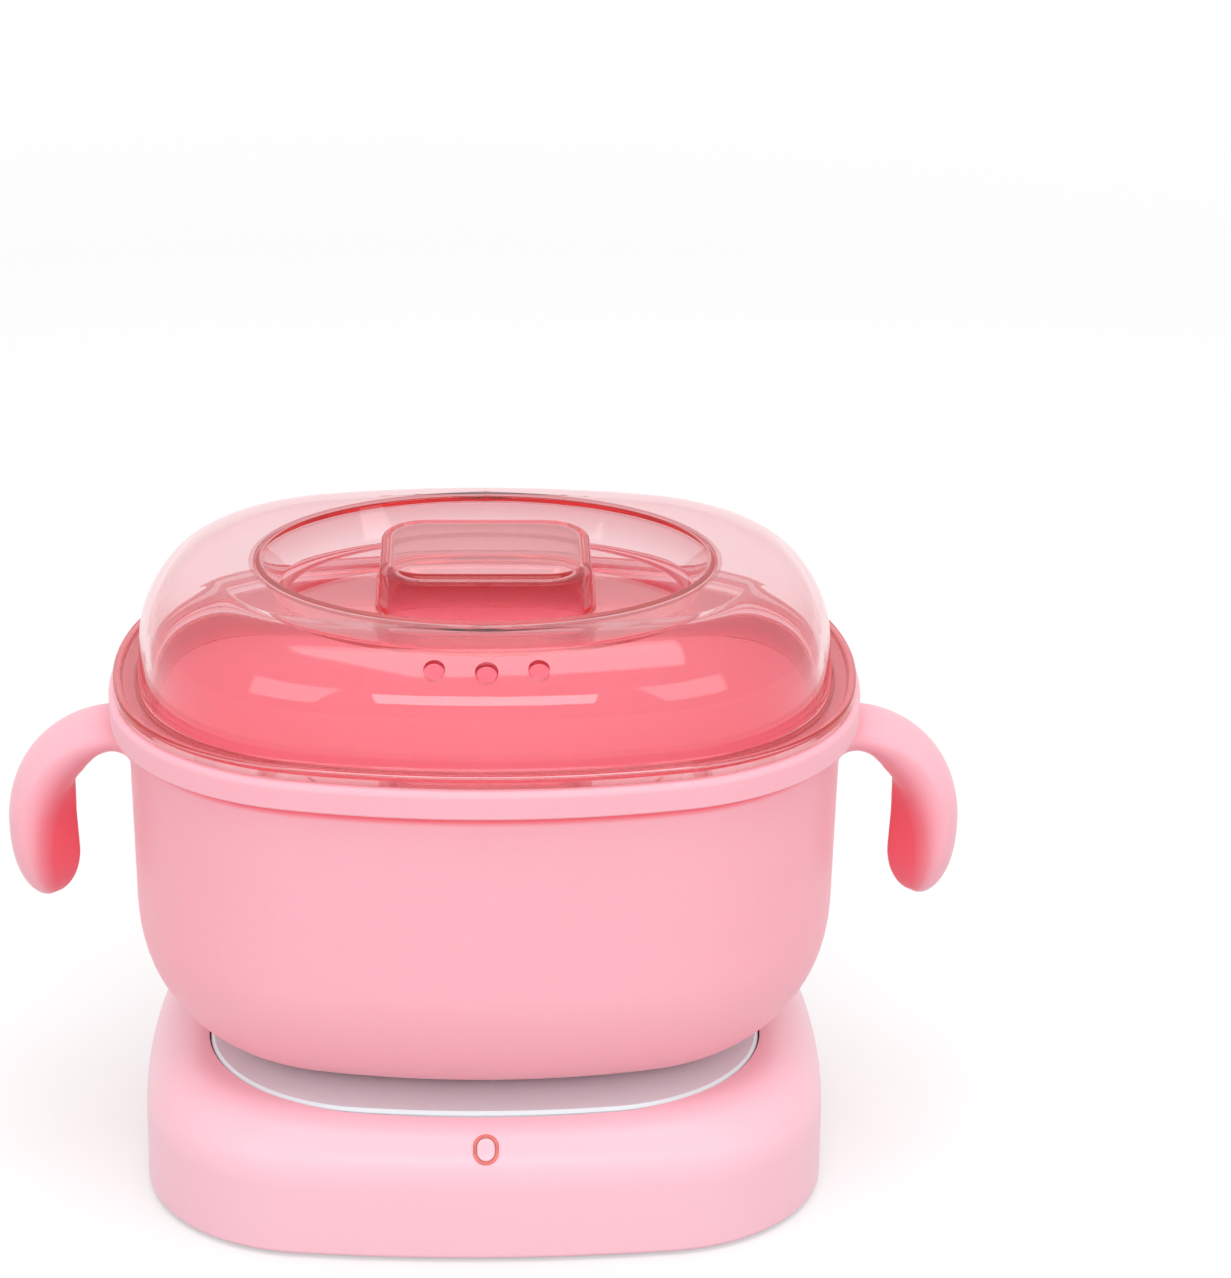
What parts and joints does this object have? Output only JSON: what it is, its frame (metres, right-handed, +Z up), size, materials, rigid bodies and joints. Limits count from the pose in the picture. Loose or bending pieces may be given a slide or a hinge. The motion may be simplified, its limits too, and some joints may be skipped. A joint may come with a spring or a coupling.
{
  "type": "wax warmer",
  "caption": "Low mains-heated base with a metal hotplate, a lift-out silicone pot with hooked side handles and a clear domed lid with a sunk finger grip.",
  "frame": {"origin": "on the table under the middle of the base", "axes": "+X along the long side through the handles, -Y the front with the power button, +Z up; stored assembled, pot on the plate and lid on the pot"},
  "size_m": [0.2564, 0.161, 0.1727],
  "materials": {
    "housing": "glossy pale pink moulding",
    "silicone": "satin pink silicone, slightly translucent",
    "clear_lid": "clear pink-tinted moulding with deep red edges",
    "plate": "satin light grey coated sheet",
    "gasket": "matt dark grey silicone",
    "foot_rubber": "matt grey rubber",
    "bezel": "copper-rose coated ring",
    "cap": "pale pink button cap",
    "steel": "zinc-plated steel",
    "pins": "nickelled contact pins",
    "mica": "mica sheet",
    "fibre": "white fibre felt",
    "board": "green circuit board",
    "black_plastic": "black moulding",
    "winding": "taped winding",
    "terminal": "green terminal block",
    "lead_sleeve": "woven sleeve leads",
    "signal_lead": "thin red leads"
  },
  "bodies": {
    "base": {"base_housing": "housing", "bottom_cover": "housing", "foot_pads": "foot_rubber", "heating_plate": "plate", "plate_gasket": "gasket", "heating_element": "mica", "element_tabs": "steel", "insulation_pad": "fibre", "retainer_plate": "steel", "retainer_screws": "steel", "temperature_sensor": "steel", "sensor_clip": "steel", "thermal_fuse": "steel", "fuse_clamp": "steel", "fuse_leads": "lead_sleeve", "control_board": "board", "relay": "black_plastic", "transformer": "winding", "terminal_block": "terminal", "small_components": "black_plastic", "board_screws": "steel", "cover_screws": "steel", "button_bezel": "bezel", "tact_switch": "black_plastic", "switch_board": "board", "switch_screws": "steel", "mains_inlet": "black_plastic", "inlet_pins": "pins", "mains_leads": "lead_sleeve", "heater_leads": "lead_sleeve", "sensor_leads": "signal_lead", "switch_leads": "signal_lead"},
    "button": {"power_button": "cap"},
    "pot": {"silicone_pot": "silicone"},
    "lid": {"lid": "clear_lid"}
  },
  "joints": [
    {"name": "power_press", "type": "slide", "parent": "base", "child": "button", "axis": [0, 0.7732, -0.6341], "range_m": [0, 0.0008], "stiffness_N_per_m": 500},
    {"name": "pot_lift", "type": "slide", "parent": "base", "child": "pot", "axis": [0, 0, 1], "range_m": [0, 0.052]},
    {"name": "lid_lift", "type": "slide", "parent": "pot", "child": "lid", "axis": [0, 0, 1], "range_m": [0, 0.075]}
  ]
}
